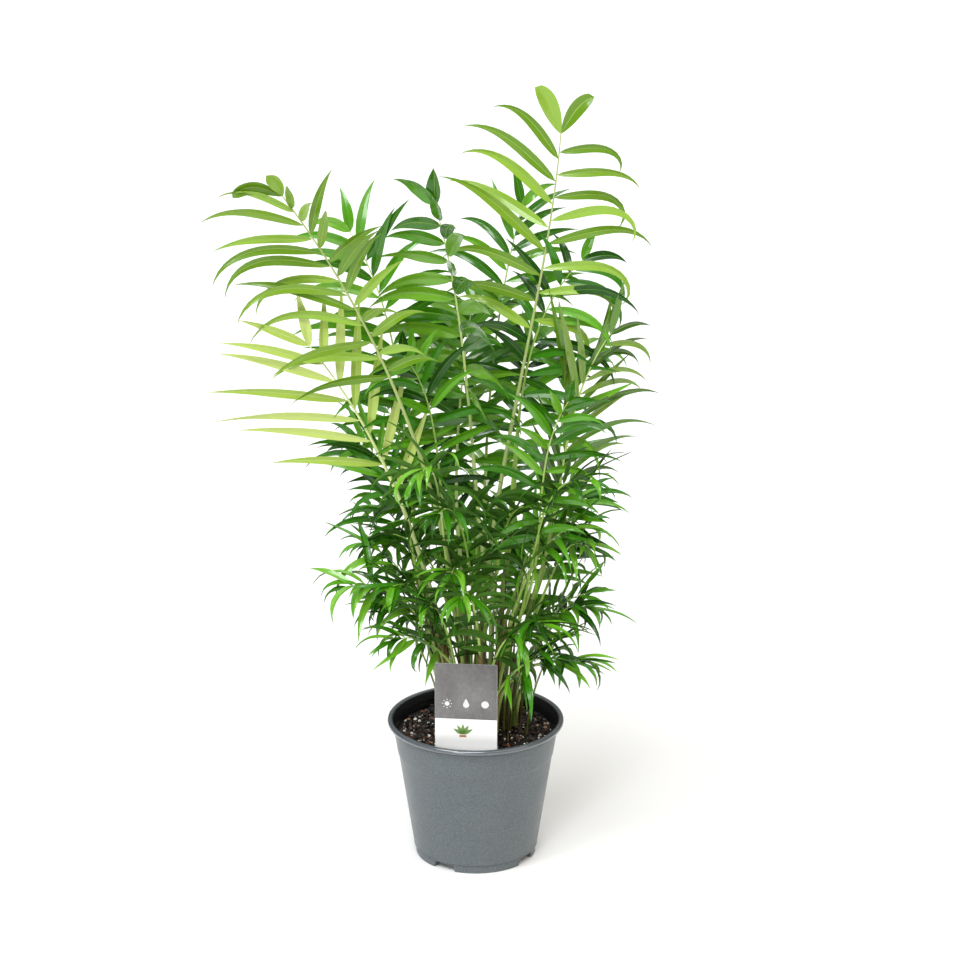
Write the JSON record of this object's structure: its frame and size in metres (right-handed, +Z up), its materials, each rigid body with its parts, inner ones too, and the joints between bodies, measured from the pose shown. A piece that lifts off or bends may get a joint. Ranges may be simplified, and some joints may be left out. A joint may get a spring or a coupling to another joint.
{
  "type": "potted parlour palm",
  "caption": "Parlour palm with thin ringed canes and arching feather fronds, in a round tapered grey nursery pot with a plant label.",
  "frame": {"origin": "centre of the pot's flat foot, on the ground", "axes": "+Z up through the pot's axis, -Y the side with the label, +X to the right seen from there"},
  "size_m": [0.427, 0.3027, 0.742],
  "materials": {
    "pot": "satin grey moulded plastic",
    "soil": "loose dark compost",
    "label": "printed plastic card",
    "cane": "smooth, ringed",
    "frond_fresh": "smooth leaf",
    "frond_pale": "smooth thin leaf",
    "frond_mid": "smooth leaf",
    "frond_deep": "glossy leaf"
  },
  "bodies": {
    "root": {"pot": "pot", "potting_soil": "soil", "plant_label": "label", "cane_01": "cane", "cane_02": "cane", "cane_03": "cane", "cane_04": "cane", "cane_05": "cane", "cane_06": "cane", "cane_07": "cane", "cane_08": "cane", "cane_09": "cane", "cane_10": "cane", "frond_01": "frond_fresh", "frond_02": "frond_fresh", "frond_03": "frond_pale", "frond_04": "frond_mid", "frond_05": "frond_mid", "frond_06": "frond_deep", "frond_07": "frond_mid", "frond_08": "frond_mid", "frond_09": "frond_mid", "frond_10": "frond_mid", "frond_11": "frond_deep", "frond_12": "frond_deep", "frond_13": "frond_deep", "frond_14": "frond_deep", "frond_15": "frond_mid", "frond_16": "frond_mid", "frond_17": "frond_mid", "frond_18": "frond_mid", "frond_19": "frond_deep", "frond_20": "frond_mid", "frond_21": "frond_deep", "frond_22": "frond_deep", "frond_23": "frond_mid", "frond_24": "frond_mid", "frond_25": "frond_deep", "frond_26": "frond_mid", "frond_27": "frond_deep", "frond_28": "frond_mid", "frond_29": "frond_deep", "frond_30": "frond_deep", "frond_31": "frond_deep", "frond_32": "frond_deep", "frond_33": "frond_mid", "frond_34": "frond_deep", "frond_35": "frond_deep", "frond_36": "frond_mid", "frond_37": "frond_mid", "frond_38": "frond_mid", "frond_39": "frond_mid", "frond_40": "frond_deep", "frond_41": "frond_deep", "frond_42": "frond_mid", "frond_43": "frond_mid", "frond_44": "frond_deep", "frond_45": "frond_deep", "frond_46": "frond_deep", "frond_47": "frond_mid"}
  },
  "joints": []
}
